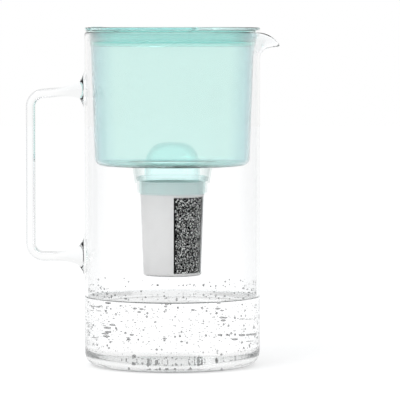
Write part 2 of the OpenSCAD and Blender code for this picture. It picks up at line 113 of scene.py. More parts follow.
# Hopper
COLLAR_R = 65.6 * MM
HOPPER_TOP_R = 65 * MM
HOPPER_LOW_R = 61.8 * MM
HOPPER_T = 2 * MM
HOPPER_Z = 160 * MM
HOPPER_CORNER = 6 * MM
HOPPER_EDGE = 0.35 * MM
HOPPER_COLUMNS = 240
HOLE_R = 32.5 * MM
COLLAR_Z = 255 * MM
COLLAR_SLOPE = 0.2 * MM
FLANGE_Z = 266.1 * MM
FLANGE_TOP = 267.5 * MM
FLANGE_R = 69 * MM
NOTCH_R = 66 * MM
NOTCH_HALF = math.radians(15)

# Seal: a band in the collar's groove, with fins
SEAL_LOW = 258.8 * MM
SEAL_TOP = 265.4 * MM
SEAL_IN = 64.9 * MM
SEAL_BAND_R = SEAL_IN + 1.0 * MM
SEAL_SLIP = 0.02 * MM
SEAL_EDGE = 0.2 * MM
SEAL_COLUMNS = 200
FINS = 3
FIN_R = 67.3 * MM
FIN_HALF = 0.42 * MM
FIN_TAPER = 0.8
FIN_TIP = 0.3 * MM
FIN_TOP = 0.9 * MM
FIN_PITCH = 2.4 * MM

# Cartridge
WINDOW_FROM = math.radians(-87)
WINDOW_TURN = math.radians(97)
BODY_LOW = 72.2 * MM
BODY_TOP = 137.2 * MM
BODY_LOW_R = 23.1 * MM
BODY_TOP_R = 25.5 * MM
BODY_T = 1.2 * MM
BED_LOW = 74.6 * MM
BED_TOP = 135.0 * MM
BED_EDGE = 0.5 * MM
BED_COLUMNS = 96

# Grains at the window: sizes and jitter as shares of GRAIN, the edge in radians. The bare edge lets the
# dark core show along the window's sides, partly as the bed's own carbon and partly as painted shade at
# the window's edge.
GRAIN = 2.0 * MM
GRAIN_EDGE = 0.10
GRAIN_ROW = 0.87
GRAIN_START = 0.6
GRAIN_SIZE = (0.34, 0.62)
GRAIN_JITTER = 0.35
GRAIN_SINK = 1.6
GRAIN_LONG = (1.1, 1.4)
GRAIN_FLAT = 0.75
GRAIN_DEEP = (0.6, 0.9)
GRAIN_UNEVEN = (0.85, 1.1)
GRAIN_SEED = 5
GRAIN_LAYERS = 2
LAYER_DEPTH = 0.7 * MM
WINDOW_GAP = 0.1 * MM

# Water, with the meniscus as distances from the glass and heights over the still water
WATER_Z = 54.7 * MM
WATER_LAP = 0.15 * MM
WATER_WALL_Z = 16 * MM
MENISCUS_TOP = 1.2 * MM
MENISCUS = ((0.3 * MM, 0.9 * MM), (0.9 * MM, 0.35 * MM), (2 * MM, 0.08 * MM))
MENISCUS_END = 4 * MM
RIPPLE_H = 0.35 * MM
RIPPLE_WAVE = 2.1 * MM
RIPPLE_FADE = 9 * MM
WATER_COLUMNS = 160
RIPPLE_ROWS = 90

# Air bubbles, one in nine of them on the floor, and drops by their height over the water
BUBBLES = 1500
LARGE_BUBBLES = 190
LARGE_SIZE = (0.65 * MM, 1.0 * MM)
SMALL_SIZE = (0.2 * MM, 0.45 * MM)
ON_FLOOR = 9
ON_FLOOR_R = 58 * MM
BUBBLE_LOW = 14 * MM
BUBBLE_COVER = 2 * MM
DROPS = 130
DROP_SIZE = (0.25 * MM, 0.8 * MM)
DROP_LOW = 3 * MM
DROP_HIGH = (4 * MM, 15 * MM)
BEAD_GAP = 0.1 * MM
MIDDLE_SPOT = 0.02
BUBBLE_SEED = 11

# Where the jug's glass changes, each as the start and the end of a change along X or Z
BAR_X = (-JUG_R - 6 * MM, -JUG_R - 14 * MM)
ROOT_X = (-JUG_R + 0.2 * MM, -JUG_R - 1 * MM)
ROOT_END_X = (-JUG_R - 26 * MM, -JUG_R - 12 * MM)
BEHIND_SPOUT_X = (JUG_R - 1 * MM, JUG_R - 5 * MM)
SPOUT_X = (JUG_R, JUG_R + 2.5 * MM)
SPOUT_TIP_X = (JUG_R, JUG_R + 15 * MM)
RIM_Z = (JUG_H - 5 * MM, JUG_H - 2 * MM)
# From here down the base takes the handle's darker greys: partly for its thick glass, partly as painted
# shade by the floor
THICK_BASE_SHADE_Z = (9 * MM, 1 * MM)
# From here down a near-black painted contact shadow runs along the jug's foot
FOOT_PAINTED_SHADOW_Z = (1.8 * MM, 1.0 * MM)

# Where painted light and shade change the mint plastic's colour, each along Z
COLLAR_SHADE_FROM_Z = (COLLAR_Z, COLLAR_Z + 0.5 * MM)
COLLAR_SHADE_TO_Z = (SEAL_LOW + 0.5 * MM, SEAL_LOW)
FLANGE_LIGHT_FROM_Z = (SEAL_TOP, FLANGE_Z)
BOTTOM_SHADE_Z = (HOPPER_Z + 1.6 * MM, HOPPER_Z + 0.8 * MM)

# How light bends in the glass, and where it would be trapped: at the roots, the rim and the lip
GLASS_IOR = 1.47
GLASS_LOW_IOR = 1.12

# Greys of the glass from face-on to edge-on, each with its place on that way: partly the glass's real
# depth of colour, partly painted shade on its edges
WALL_GREYS = (
    (0.3, (1.0, 1.0, 1.0)),
    (0.5, (0.925, 0.928, 0.928)),
    (0.8, (0.86, 0.865, 0.865)),
    (1.0, (0.46, 0.48, 0.48)),
)
BAR_GREYS = (
    (0.05, (0.985, 0.985, 0.985)),
    (0.3, (0.91, 0.915, 0.915)),
    (0.7, (0.58, 0.59, 0.59)),
    (1.0, (0.24, 0.25, 0.25)),
)

# Most of a noise's values lie between these
NOISE_LOW = 0.3
NOISE_HIGH = 0.7

WHITE = (1.0, 1.0, 1.0)

# Studio: lamp power in watts, the rest of the light as strengths where 1 is white
FLOOR_SIZE = 6.0
FLOOR_SIDES = 96
FLOOR_COLOUR = (0.8, 0.8, 0.8)
FLOOR_GLOW = 1.55
FLOOR_GLOW_SHARE = 0.42
SKY_COLOUR = (0.97, 0.985, 1.0)
SKY_LIGHT = 0.8
LAMP_PLACE = (-0.9, -1.1, 1.3)
LAMP_AIM = (0.0, 0.0, 0.13)
LAMP_SIZE = 1.2
LAMP_POWER = 14.0

# Camera: a long lens, level with the lid, pitched down to the middle of the frame. The sensor is
# in millimetres, as the camera takes it.
FRAME_PX = 400
MM_PER_PX = 0.798
CAMERA_AWAY = 2.48
CAMERA_X = 22.1 * MM
CAMERA_Z = 270 * MM
CAMERA_END = 50.0
MIDDLE_Z = 132.2 * MM
SENSOR = 36.0

# Mesh building: lengths that count as none, and angles that count as flat or as an edge
ON_AXIS = 1e-6
SAME_POINT = 1e-7
SAME_CAD_POINT = 2e-7
SHARP = math.radians(40)
BOW_SHARP = math.radians(60)
GRAIN_SHARP = math.radians(25)
CAD_SHARP = math.radians(30)
CAD_FLAT = math.radians(0.6)
BEVEL_FROM = math.radians(32)
BEVEL_SEGMENTS = 2
STRAIGHT = math.radians(172)
FILLET_MOST = 0.45


def lerp(a, b, t):
    """The number at a share t of the way from a to b."""
    return a + (b - a) * t


def steps(start, end, count):
    """Evenly spaced numbers, both ends included."""
    return [lerp(start, end, i / count) for i in range(count + 1)]


def signed(angle):
    """The same angle, within half a turn of 0."""
    return (angle + math.pi) % (2 * math.pi) - math.pi


def arc(centre, radius, start, end, count):
    """Points (r, z) round a centre, angles in degrees."""
    out = []
    for angle in steps(math.radians(start), math.radians(end), count):
        out.append((centre[0] + radius * math.cos(angle), centre[1] + radius * math.sin(angle)))
    return out


def fillet(outline, radius, count, closed=True):
    """The outline with its corners rounded. A corner on the axis stays."""
    out = []
    total = len(outline)
    for i, corner in enumerate(outline):
        on_end = not closed and i in (0, total - 1)
        if on_end or corner[0] < ON_AXIS:
            out.append(corner)
            continue
        here = Vector(corner)
        before = Vector(outline[i - 1]) - here
        after = Vector(outline[(i + 1) % total]) - here
        turn = before.angle(after, math.pi)
        if turn > STRAIGHT:
            out.append(corner)
            continue
        back = min(
            radius / math.tan(turn / 2), before.length * FILLET_MOST, after.length * FILLET_MOST
        )
        first = here + before.normalized() * back
        last = here + after.normalized() * back
        for t in steps(0, 1, count):
            point = first * (1 - t) ** 2 + here * 2 * t * (1 - t) + last * t * t
            out.append((point.x, point.y))
    return out


def in_scene(name, data):
    """A new object in the scene, for a mesh, a lamp or a camera."""
    thing = bpy.data.objects.new(name, data)
    bpy.context.scene.collection.objects.link(thing)
    return thing


def new_object(name, mesh, sharp=SHARP):
    """A shaded object in the scene, with normals that keep flat faces flat."""
    for face in mesh.polygons:
        face.use_smooth = True
    mesh.set_sharp_from_angle(angle=sharp)
    piece = in_scene(name, mesh)
    normals = piece.modifiers.new("even normals", "WEIGHTED_NORMAL")
    normals.keep_sharp = True
    return piece


def to_mesh(name, shell):
    """A mesh from the shell that was built, which ends with it."""
    mesh = bpy.data.meshes.new(name)
    shell.to_mesh(mesh)
    shell.free()
    return mesh


def grid_object(name, columns, around, along, sharp=SHARP):
    """A skin over columns of points. around and along join the last column or row to the first."""
    count = len(columns[0])
    shell = bmesh.new()
    verts = [[shell.verts.new(point) for point in column] for column in columns]
    last_column = len(columns) if around else len(columns) - 1
    last_row = count if along else count - 1
    for i in range(last_column):
        left = verts[i]
        right = verts[(i + 1) % len(columns)]
        for j in range(last_row):
            k = (j + 1) % count
            shell.faces.new((left[j], right[j], right[k], left[k]))
    if not around:
        shell.faces.new(verts[0])
        shell.faces.new(list(reversed(verts[-1])))
    bmesh.ops.remove_doubles(shell, verts=shell.verts, dist=SAME_POINT)
    bmesh.ops.recalc_face_normals(shell, faces=shell.faces)
    return new_object(name, to_mesh(name, shell), sharp)


def lathe(name, outline, columns, start=0.0, turn=360.0, reach=None):
    """The outline of (r, z) points turned about the jug's axis, with start and turn in degrees.

    reach may change a point by its angle.
    """
    full = turn >= 360
    count = columns if full else columns + 1
    angles = [math.radians(start + turn * i / columns) for i in range(count)]
    on_axis = min(r for r, z in outline) < ON_AXIS
    skin = []
    for angle in angles:
        column = []
        for r, z in outline:
            if reach:
                r, z = reach(r, z, angle)
            column.append((r * math.cos(angle), r * math.sin(angle), z))
        skin.append(column)
    return grid_object(name, skin, full, not on_axis)


def ball(subdivisions):
    """Corners and faces of a ball of radius 1."""
    seed = bmesh.new()
    bmesh.ops.create_icosphere(seed, subdivisions=subdivisions, radius=1.0)
    corners = [vert.co.copy() for vert in seed.verts]
    sides = [[vert.index for vert in face.verts] for face in seed.faces]
    seed.free()
    return corners, sides


def scattered_object(name, points, faces, sharp=SHARP):
    """Many small closed shapes as one object."""
    mesh = bpy.data.meshes.new(name)
    mesh.from_pydata(points, [], faces)
    return new_object(name, mesh, sharp)


def rounded_copy(node, name, width):
    """A copy of a rigid CAD node with its edges rounded."""
    shell = bmesh.new()
    mesh = nodes[node].data.copy()
    mesh.name = name
    mesh.materials.clear()
    shell.from_mesh(mesh)
    bmesh.ops.remove_doubles(shell, verts=shell.verts, dist=SAME_CAD_POINT)
    bmesh.ops.dissolve_limit(shell, angle_limit=CAD_FLAT, verts=shell.verts, edges=shell.edges)
    shell.to_mesh(mesh)
    shell.free()
    custom = mesh.attributes.get("custom_normal")
    if custom:
        mesh.attributes.remove(custom)
    piece = new_object(name, mesh, CAD_SHARP)
    edge = piece.modifiers.new("rounded edges", "BEVEL")
    edge.width = width
    edge.segments = BEVEL_SEGMENTS
    edge.limit_method = "ANGLE"
    edge.angle_limit = BEVEL_FROM
    edge.harden_normals = False
    piece.modifiers.move(1, 0)
    return piece


def carried_over(node, name, width, material, body):
    """A rigid node with rounded edges and its finish."""
    piece = rounded_copy(node, name, width)
    piece.data.materials.append(material)
    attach(piece, body)
    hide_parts(node)


# Materials

def blended(first, second, share):
    """A colour between two others."""
    return tuple(lerp(a, b, share) for a, b in zip(first, second))


def shaded(colour, share):
    """The colour darkened to a share of itself."""
    return tuple(c * share for c in colour)


def socket_values(node, values):
    """Sets a node's own sockets, by name."""
    for name, value in values.items():
        node.inputs[name].default_value = value


def new_material(name):
    """A material with one Principled shader wired to its output, and its node tree."""
    material = bpy.data.materials.new(name)
    material.use_nodes = True
    tree = material.node_tree
    return material, tree, tree.nodes["Principled BSDF"]


def add(tree, kind, **values):
    """A new node, with values for its sockets and settings."""
    node = tree.nodes.new(kind)
    for name, value in values.items():
        if name in node.inputs:
            node.inputs[name].default_value = value
        else:
            setattr(node, name, value)
    return node


def place_on_piece(tree):
    """The place in the piece's own metres."""
    return add(tree, "ShaderNodeTexCoord").outputs["Object"]


def axes(tree, vector):
    """X, Y and Z of a vector, by name."""
    node = add(tree, "ShaderNodeSeparateXYZ")
    tree.links.new(vector, node.inputs["Vector"])
    return node.outputs


def noise(tree, scale, detail=3.0, roughness=0.5):
    """Noise by place, in the piece's own metres."""
    texture = add(tree, "ShaderNodeTexNoise", Scale=scale, Detail=detail, Roughness=roughness)
    tree.links.new(place_on_piece(tree), texture.inputs["Vector"])
    return texture.outputs["Fac"]


def ramp(tree, factor, stops):
    """A colour ramp over (place, colour) stops."""
    node = tree.nodes.new("ShaderNodeValToRGB")
    elements = node.color_ramp.elements
    while len(elements) < len(stops):
        elements.new(0.5)
    for element, (place, colour) in zip(elements, stops):
        element.position = place
        element.color = (*colour, 1.0)
    tree.links.new(factor, node.inputs["Fac"])
    return node.outputs["Color"]


def clouded(tree, factor, dark, light):
    """A colour that wanders between two others with a noise."""
    return ramp(tree, factor, ((NOISE_LOW, dark), (NOISE_HIGH, light)))


def map_range(tree, value, start, end, low, high):
    """low before the start and high past the end, in a straight line between them."""
    node = add(tree, "ShaderNodeMapRange")
    socket_values(node, {"From Min": start, "From Max": end, "To Min": low, "To Max": high})
    tree.links.new(value, node.inputs["Value"])
    return node.outputs["Result"]


def share_between(tree, value, start, end):
    """0 before the start and 1 past the end, in a straight line between them."""
    return map_range(tree, value, start, end, 0.0, 1.0)


def uneven_roughness(tree, shader, factor, low, high):
    """Roughness that wanders between two values with a noise."""
    roughness = map_range(tree, factor, NOISE_LOW, NOISE_HIGH, low, high)
    tree.links.new(roughness, shader.inputs["Roughness"])


def combine(tree, operation, first, second):
    """One number from two outputs."""
    node = add(tree, "ShaderNodeMath", operation=operation)
    tree.links.new(first, node.inputs[0])
    tree.links.new(second, node.inputs[1])
    return node.outputs[0]


def greatest(tree, first, *others):
    """The highest of several outputs."""
    for other in others:
        first = combine(tree, "MAXIMUM", first, other)
    return first


def bump(tree, shader, height, distance):
    """Relief in the shader's normal, as deep as the distance in metres."""
    node = add(tree, "ShaderNodeBump", Strength=1.0, Distance=distance)
    tree.links.new(height, node.inputs["Height"])
    tree.links.new(node.outputs["Normal"], shader.inputs["Normal"])


def mix_colours(tree, factor, first, second):
    """A blend of two colours, each a colour or another node's output."""
    blend = add(tree, "ShaderNodeMix", data_type="RGBA")
    by_id = {socket.identifier: socket for socket in blend.inputs}
    tree.links.new(factor, by_id["Factor_Float"])
    for socket, colour in ((by_id["A_Color"], first), (by_id["B_Color"], second)):
        if isinstance(colour, tuple):
            socket.default_value = (*colour, 1.0)
        else:
            tree.links.new(colour, socket)
    return next(socket for socket in blend.outputs if socket.identifier == "Result_Color")


def laid_over(tree, colour, regions):
    """A colour with others laid over it in turn, each as (share, colour)."""
    for share, over in regions:
        colour = mix_colours(tree, share, colour, over)
    return colour


def edge_tint(tree, stops):
    """A tint on the way in that deepens where a clear wall is seen edge-on: partly the wall's real depth
    of colour, partly painted shade on its edges.
    """
    weight = add(tree, "ShaderNodeLayerWeight", Blend=0.5)
    tint = ramp(tree, weight.outputs["Facing"], stops)
    geometry = add(tree, "ShaderNodeNewGeometry")
    return mix_colours(tree, geometry.outputs["Backfacing"], tint, WHITE)


def mix_shaders(tree, share, first, second):
    """A blend of two nodes' shaders. The share is a number or another node's output."""
    blend = add(tree, "ShaderNodeMixShader")
    if isinstance(share, float):
        blend.inputs[0].default_value = share
    else:
        tree.links.new(share, blend.inputs[0])
    tree.links.new(first.outputs[0], blend.inputs[1])
    tree.links.new(second.outputs[0], blend.inputs[2])
    return blend


def show(tree, shader):
    """Wires a shader's node to the material's surface."""
    tree.links.new(shader.outputs[0], tree.nodes["Material Output"].inputs["Surface"])


def absorb(tree, colour, density):
    """A tint that grows with the way light goes through the piece."""
    volume = add(tree, "ShaderNodeVolumeAbsorption", Color=(*colour, 1.0), Density=density)
    tree.links.new(volume.outputs["Volume"], tree.nodes["Material Output"].inputs["Volume"])


def bar_grey(tree):
    """The grey of thick glass, with painted shade on faces that look along +X: there it is blended up to
    half way to one mid grey.
    """
    bar = edge_tint(tree, BAR_GREYS)
    normal = axes(tree, add(tree, "ShaderNodeNewGeometry").outputs["Normal"])
    # Painted shade on faces that look along +X, such as the handle's inner side towards the jug
    painted_inner_shade = share_between(tree, normal["X"], 0.0, 2.0)
    return mix_colours(tree, painted_inner_shade, bar, (0.74, 0.75, 0.75))


def glass_material():
    """Polished glass with the faint waves of drawn tube, greyer at its edges, partly for its depth and
    partly as painted shade; with painted shade low on the base and a painted contact shadow at the foot.
    """
    material, tree, shader = new_material("jug glass")
    socket_values(
        shader,
        {
            "Transmission Weight": 1.0,
            "Roughness": 0.0,
            "IOR": GLASS_IOR,
            "Specular Tint": (0.2, 0.2, 0.2, 1.0),
        },
    )
    place = axes(tree, place_on_piece(tree))
    past_wall = share_between(tree, place["X"], *ROOT_X)
    before_bar = share_between(tree, place["X"], *ROOT_END_X)
    at_root = combine(tree, "MULTIPLY", past_wall, before_bar)
    high = share_between(tree, place["Z"], *RIM_Z)
    behind_spout = share_between(tree, place["X"], *BEHIND_SPOUT_X)
    at_rim = combine(tree, "MULTIPLY", high, behind_spout)
    on_bar = share_between(tree, place["X"], *BAR_X)
    thick_base_shade = share_between(tree, place["Z"], *THICK_BASE_SHADE_Z)
    tint = laid_over(
        tree,
        edge_tint(tree, WALL_GREYS),
        (
            # Darker greys: on the handle's bar for its thick glass, on the base partly for its thick glass
            # and partly as painted shade
            (greatest(tree, on_bar, thick_base_shade), bar_grey(tree)),
            (at_rim, (0.95, 0.96, 0.96)),
            (at_root, (0.93, 0.935, 0.935)),
            (share_between(tree, place["X"], *SPOUT_X), (0.96, 0.965, 0.965)),
            # Painted contact shadow: the foot's lowest glass tinted near black
            (share_between(tree, place["Z"], *FOOT_PAINTED_SHADOW_Z), (0.06, 0.065, 0.065)),
        ),
    )
    tree.links.new(tint, shader.inputs["Base Color"])
    at_tip = share_between(tree, place["X"], *SPOUT_TIP_X)
    trapping = greatest(tree, at_root, at_rim, at_tip)
    bending = map_range(tree, trapping, 0.0, 1.0, GLASS_IOR, GLASS_LOW_IOR)
    tree.links.new(bending, shader.inputs["IOR"])
    bump(tree, shader, noise(tree, 14.0, 1.0), 0.007 * MM)
    absorb(tree, (0.86, 0.90, 0.90), 1.5)
    return material


def water_material():
    """Still water with a faint swell, greyer where seen edge-on as painted edge shade."""
    material, tree, shader = new_material("water")
    socket_values(shader, {"Transmission Weight": 1.0, "Roughness": 0.0, "IOR": 1.33})
    tint = edge_tint(tree, ((0.3, WHITE), (1.0, (0.66, 0.70, 0.71))))
    tree.links.new(tint, shader.inputs["Base Color"])
    bump(tree, shader, noise(tree, 25.0, 1.0), 0.05 * MM)
    return material


def mint_tint(tree, clear, edge):
    """The tint by height: painted shade between collar and seal, painted light from the flange up, a
    painted dark line at the bottom.
    """
    height = axes(tree, place_on_piece(tree))["Z"]
    from_collar = share_between(tree, height, *COLLAR_SHADE_FROM_Z)
    to_seal = share_between(tree, height, *COLLAR_SHADE_TO_Z)
    # The band is painted shade between collar and seal; painted light from the flange up and a painted
    # dark line at the bottom follow
    band = tuple(c * d for c, d in zip(clear, (0.90, 0.94, 0.95)))
    return laid_over(
        tree,
        edge_tint(tree, ((0.3, clear), (0.85, blended(clear, edge, 0.6)), (1.0, edge))),
        (
            (combine(tree, "MULTIPLY", from_collar, to_seal), band),
            (share_between(tree, height, *FLANGE_LIGHT_FROM_Z), blended(clear, WHITE, 0.25)),
            (share_between(tree, height, *BOTTOM_SHADE_Z), shaded(clear, 0.5)),
        ),
    )


def mint_material(name, clear, edge, haze, haze_share, roughness):
    """Tinted translucent plastic: a clear tinted part under a thin milky haze, with a satin skin."""
    material, tree, shader = new_material(name)
    socket_values(shader, {"Transmission Weight": 1.0, "IOR": 1.49})
    tree.links.new(mint_tint(tree, clear, edge), shader.inputs["Base Color"])
    uneven_roughness(tree, shader, noise(tree, 900.0), roughness * 0.8, roughness * 1.25)
    bump(tree, shader, noise(tree, 1600.0, 2.0), 0.01 * MM)
    cloud = clouded(tree, noise(tree, 40.0), shaded(haze, 0.97), haze)
    milk = add(tree, "ShaderNodeBsdfDiffuse")
    tree.links.new(cloud, milk.inputs["Color"])
    glow = add(tree, "ShaderNodeBsdfTranslucent")
    tree.links.new(cloud, glow.inputs["Color"])
    milky = mix_shaders(tree, 0.5, milk, glow)
    show(tree, mix_shaders(tree, haze_share, shader, milky))
    return material


def film_material(name, clear, body, share, edge_share, roughness=0.15):
    """Thin see-through plastic: a tint that light passes straight, and a skin that thickens edge-on."""
    material, tree, shader = new_material(name)
    cloud = clouded(tree, noise(tree, 70.0), shaded(body, 0.96), body)
    tree.links.new(cloud, shader.inputs["Base Color"])
    uneven_roughness(tree, shader, noise(tree, 600.0), roughness * 0.8, roughness * 1.3)
    bump(tree, shader, noise(tree, 1400.0, 2.0), 0.01 * MM)
    tinted = add(tree, "ShaderNodeBsdfTransparent", Color=(*clear, 1.0))
    weight = add(tree, "ShaderNodeLayerWeight", Blend=0.5)
    solid = map_range(tree, weight.outputs["Facing"], 0.3, 1.0, share, edge_share)
    show(tree, mix_shaders(tree, solid, tinted, shader))
    return material


def satin_material(name, colour, shade, roughness):
    """Moulded plastic: a fine spark-eroded grain and slight clouding."""
    material, tree, shader = new_material(name)
    socket_values(shader, {"IOR": 1.5})
    cloud = clouded(tree, noise(tree, 60.0), shade, colour)
    tree.links.new(cloud, shader.inputs["Base Color"])
    uneven_roughness(tree, shader, noise(tree, 500.0), roughness - 0.06, roughness + 0.08)
    bump(tree, shader, noise(tree, 1200.0, 2.0), 0.02 * MM)
    return material


def granule_material():
    """Carbon black, resin white and grey grains, one shade to a grain."""
    material, tree, shader = new_material("filter granules")
    shade = ramp(
        tree,
        add(tree, "ShaderNodeNewGeometry").outputs["Random Per Island"],
        (
            (0.0, (0.006, 0.006, 0.007)),
            (0.57, (0.010, 0.010, 0.012)),
            (0.58, (0.10, 0.105, 0.105)),
            (0.61, (0.30, 0.305, 0.30)),
            (0.62, (0.90, 0.90, 0.88)),
            (1.0, (0.98, 0.98, 0.97)),
        ),
    )
    tree.links.new(shade, shader.inputs["Base Color"])
    socket_values(shader, {"Specular IOR Level": 0.02})
    uneven_roughness(tree, shader, noise(tree, 2500.0), 0.5, 0.8)
    bump(tree, shader, noise(tree, 4000.0, 2.0), 0.05 * MM)
    return material


def bed_material():
    """The dark mass of grains behind the ones that show, darker towards each cell's edge as painted shade
    between grains.
    """
    material, tree, shader = new_material("packed bed")
    cells = add(tree, "ShaderNodeTexVoronoi", Scale=900.0)
    tree.links.new(place_on_piece(tree), cells.inputs["Vector"])
    relief = cells.outputs["Distance"]
    # Painted shade: darker away from each cell's middle, in the gaps between grains
    shade = ramp(tree, relief, ((0.0, (0.014, 0.014, 0.014)), (0.6, (0.004, 0.004, 0.004))))
    tree.links.new(shade, shader.inputs["Base Color"])
    socket_values(shader, {"Roughness": 0.8, "Specular IOR Level": 0.02})
    bump(tree, shader, relief, 0.5 * MM)
    return material


def fleece_material():
    """Non-woven fleece: matted fibres."""
    material, tree, shader = new_material("fleece")
    fibres = noise(tree, 1500.0, 6.0, 0.7)
    shade = clouded(tree, fibres, (0.76, 0.77, 0.76), (0.92, 0.92, 0.90))
    tree.links.new(shade, shader.inputs["Base Color"])
    socket_values(shader, {"Roughness": 0.95, "Sheen Weight": 0.3})
    bump(tree, shader, noise(tree, 2200.0, 5.0, 0.7), 0.15 * MM)
    return material


def mesh_material():
    """Fine woven mesh: crossed threads in relief, with far more gap than thread, darker where the relief
    is low as painted shade between threads.
    """
    material, tree, shader = new_material("woven mesh")
    place = place_on_piece(tree)
    threads = []
    for direction in ("X", "Z"):
        wave = add(tree, "ShaderNodeTexWave", Scale=420.0, bands_direction=direction)
        tree.links.new(place, wave.inputs["Vector"])
        threads.append(wave.outputs["Fac"])
    relief = combine(tree, "MULTIPLY", *threads)
    # Painted shade: darker where the relief is low, between the threads
    shade = ramp(tree, relief, ((0.1, (0.7, 0.76, 0.76)), (0.7, (0.9, 0.93, 0.93))))
    tree.links.new(shade, shader.inputs["Base Color"])
    socket_values(shader, {"Roughness": 0.6})
    bump(tree, shader, relief, 0.1 * MM)
    gaps = add(tree, "ShaderNodeBsdfTransparent")
    show(tree, mix_shaders(tree, 0.006, gaps, shader))
    return material


def steel_material():
    """Drawn stainless wire, with its scratches along Y."""
    material, tree, shader = new_material("drawn steel")
    stretch = add(tree, "ShaderNodeMapping", Scale=(1.0, 0.02, 1.0))
    texture = add(tree, "ShaderNodeTexNoise", Scale=4000.0, Detail=2.0)
    tree.links.new(place_on_piece(tree), stretch.inputs["Vector"])
    tree.links.new(stretch.outputs["Vector"], texture.inputs["Vector"])
    scratches = texture.outputs["Fac"]
    socket_values(shader, {"Base Color": (0.62, 0.63, 0.64, 1.0), "Metallic": 1.0})
    uneven_roughness(tree, shader, scratches, 0.18, 0.4)
    bump(tree, shader, scratches, 0.01 * MM)
    return material


# Jug

def spout_curve(u):
    """The middle of the spout's glass at a share u of its half angle, as four control points."""
    share = ((math.cos(math.pi * u) + 1) / 2) ** REACH_POWER
    reach = SPOUT_REACH * share
    top = RIM_MID - SPOUT_DROP * share**DROP_POWER
    rise = top - SPOUT_LOW
    return (
        Vector((WALL_MID, SPOUT_LOW)),
        Vector((WALL_MID, SPOUT_LOW + rise * lerp(*LOW_PULL, share))),
        Vector((WALL_MID + reach * TOP_PULL_OUT, top - rise * lerp(*TOP_PULL, share))),
        Vector((WALL_MID + reach, top)),
    )


def bezier(p, t):
    """The point at t of a curve with four control points."""
    s = 1 - t
    return p[0] * s**3 + p[1] * 3 * s * s * t + p[2] * 3 * s * t * t + p[3] * t**3


def bezier_way(p, t):
    """The direction of that curve at t."""
    s = 1 - t
    way = (p[1] - p[0]) * s * s + (p[2] - p[1]) * 2 * s * t + (p[3] - p[2]) * t * t
    return way.normalized()


def root_share(y, z):
    """0 at the edge of a handle's root and 1 where its flare meets the wall, found by halving."""
    low, high = -1.0, 1.0
    for _ in range(BOSS_HALVINGS):
        s = (low + high) / 2
        a = lerp(ROOT_W, BOSS_W, s) / 2
        b = lerp(ROOT_T, BOSS_SIZE, s) / 2
        if a > 0 and b > 0 and (y / a) ** 2 + (z / b) ** 2 < 1:
            high = s
        else:
            low = s
    return (low + high) / 2


def drawn_out(x, y, z):
    """A point of the outer wall, moved out where a root of the handle is drawn from it."""
    if x > BOSS_SIDE_X:
        return x, y, z
    for root in ROOTS:
        share = root_share(y, z - root["z"])
        if share < BOSS_EDGE:
            height = (1 - max(share, 0.0)) ** BOSS_POWER
            return lerp(x, -(JUG_R + root["height"]), height), y, z
    return x, y, z


def jug_angles():
    """Column angles, closer together at the spout and at the handle's roots."""
    spout = math.degrees(SPOUT_HALF)
    degrees = steps(-spout, spout, SPOUT_COLUMNS)
    degrees += steps(spout, ROOTS_FROM, SIDE_COLUMNS)[1:]
    degrees += steps(ROOTS_FROM, ROOTS_TO, ROOT_COLUMNS)[1:]
    degrees += steps(ROOTS_TO, 360 - spout, SIDE_COLUMNS)[1:-1]
    return [math.radians(d) for d in degrees]


def lip_profile(curve):
    """The glass over the curve of its middle: up the outside, then over the rim and down the inside."""
    half = GLASS_T / 2
    rise, fall = [], []
    for t in steps(0, 1, LIP_ROWS):
        point = bezier(curve, t)
        way = bezier_way(curve, t)
        side = Vector((way.y, -way.x)) * half
        rise.append(point + side)
        fall.append(point - side)
    way = bezier_way(curve, 1)
    side = Vector((way.y, -way.x))
    rim = []
    for a in steps(0, math.pi, RIM_ROWS)[1:-1]:
        rim.append(curve[3] + side * math.cos(a) * half + way * math.sin(a) * half)
    return [tuple(point) for point in rise], [tuple(point) for point in rim + fall[::-1]]


def jug_column(angle):
    """One meridian of the jug, from the base's middle over the rim to the floor's middle."""
    u = max(-1.0, min(1.0, signed(angle) / SPOUT_HALF))
    rise, fall = lip_profile(spout_curve(u))
    corner_r = JUG_R - BASE_R
    inner_corner = BASE_R - GLASS_T
    outer = [(0.0, PUNT_H), (PUNT_FLAT_R, PUNT_H), (PUNT_R, PUNT_EDGE_H), (FOOT_R, 0.0)]
    outer += arc((corner_r, BASE_R), BASE_R, -90, 0, CORNER_ROWS)
    outer += [(JUG_R, z) for z in steps(BASE_R, SPOUT_LOW, WALL_ROWS)[1:-1]]
    outer += rise
    inner = fall
    inner += [(BORE_R, z) for z in steps(SPOUT_LOW, FLOOR_T + inner_corner, BORE_ROWS)[1:-1]]
    inner += arc((corner_r, FLOOR_T + inner_corner), inner_corner, 0, -90, CORNER_ROWS)
    inner += [(PUNT_FLAT_R, FLOOR_T), (0.0, FLOOR_T)]
    column = [drawn_out(r * math.cos(angle), r * math.sin(angle), z) for r, z in outer]
    column += [(r * math.cos(angle), r * math.sin(angle), z) for r, z in inner]
    return column


def arm_stations(seam, corner, outward):
    """Along an arm of the bow's flare. It leaves the wall square, then turns to its own line."""
    way = (corner - seam).normalized()
    out = []
    for share in steps(0, 1, BOW_RINGS):
        distance = FLARE * share
        level = OUTWARD.lerp(way, min(1.0, share * ARM_TURN)).normalized()
        out.append((seam + way * distance, level if outward else -level, distance))
    return out if outward else out[::-1]


def bend_stations(before, corner, after):
    """Round a corner of the bow, on an arc."""
    first = (corner - before).normalized()
    last = (after - corner).normalized()
    turn = first.angle(last)
    begin = corner - first * BOW_R * math.tan(turn / 2)
    side = Vector((-first.y, first.x))
    centre = begin + side * BOW_R
    out = []
    for a in steps(0, turn, BOW_RINGS):
        at = centre - side * BOW_R * math.cos(a) + first * BOW_R * math.sin(a)
        out.append((at, first * math.cos(a) + side * math.sin(a), FLARE))
    return out


